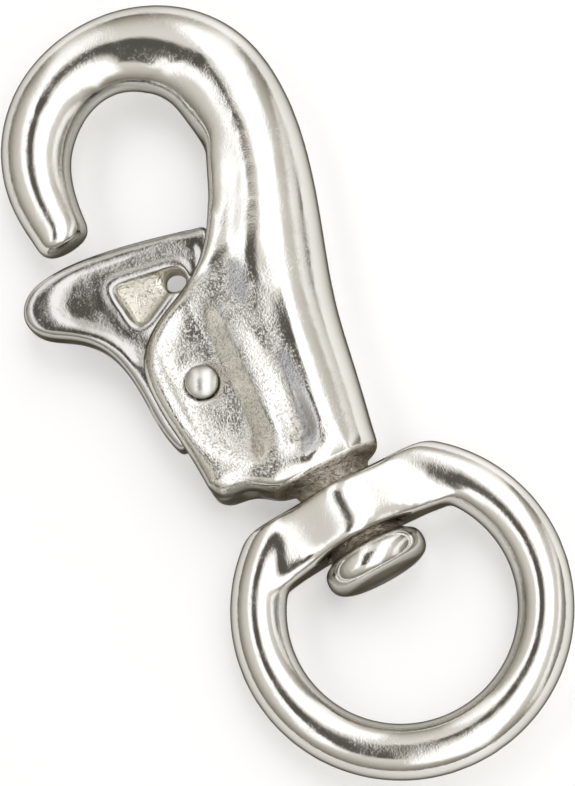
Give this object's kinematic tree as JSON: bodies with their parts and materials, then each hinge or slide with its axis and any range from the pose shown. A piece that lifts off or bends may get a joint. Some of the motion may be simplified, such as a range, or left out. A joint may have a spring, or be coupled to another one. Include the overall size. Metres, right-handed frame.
{
  "type": "trigger snap",
  "caption": "Cast snap hook with a spring-closed thumb trigger across its throat and a round swivel eye, for ropes, straps and chain.",
  "frame": {"origin": "centre of the round swivel eye, in the snap's middle plane", "axes": "+Y along the swivel axis from the eye to the hook, +X towards the closed back of the hook, +Z square to the snap's flat side"},
  "size_m": [0.0505, 0.1174, 0.0152],
  "materials": {
    "nickel_casting": "bright nickel plate over a cast body, polished on the high parts and grainy in the recesses",
    "nickel_eye": "bright polished nickel plate",
    "nickel_trigger": "nickel plate, polished rim round a grainy cast face",
    "nickel_pin": "bright nickel plate",
    "spring_steel": "drawn spring wire"
  },
  "bodies": {
    "snap_body": {"body": "nickel_casting", "pivot_pin": "nickel_pin", "spring": "spring_steel"},
    "trigger_body": {"trigger": "nickel_trigger"},
    "eye_body": {"swivel_eye": "nickel_eye"}
  },
  "joints": [
    {"name": "trigger_pivot", "type": "hinge", "parent": "snap_body", "child": "trigger_body", "pos_m": [-0.0093, 0.0398, 0], "axis": [0, 0, 1], "range_deg": [0, 75], "stiffness_Nm_per_rad": 0.12, "springref_deg": -24.06, "deforming": ["spring"]},
    {"name": "eye_swivel", "type": "hinge", "parent": "snap_body", "child": "eye_body", "pos_m": [0, 0, 0], "axis": [0, 1, 0], "continuous": true}
  ]
}
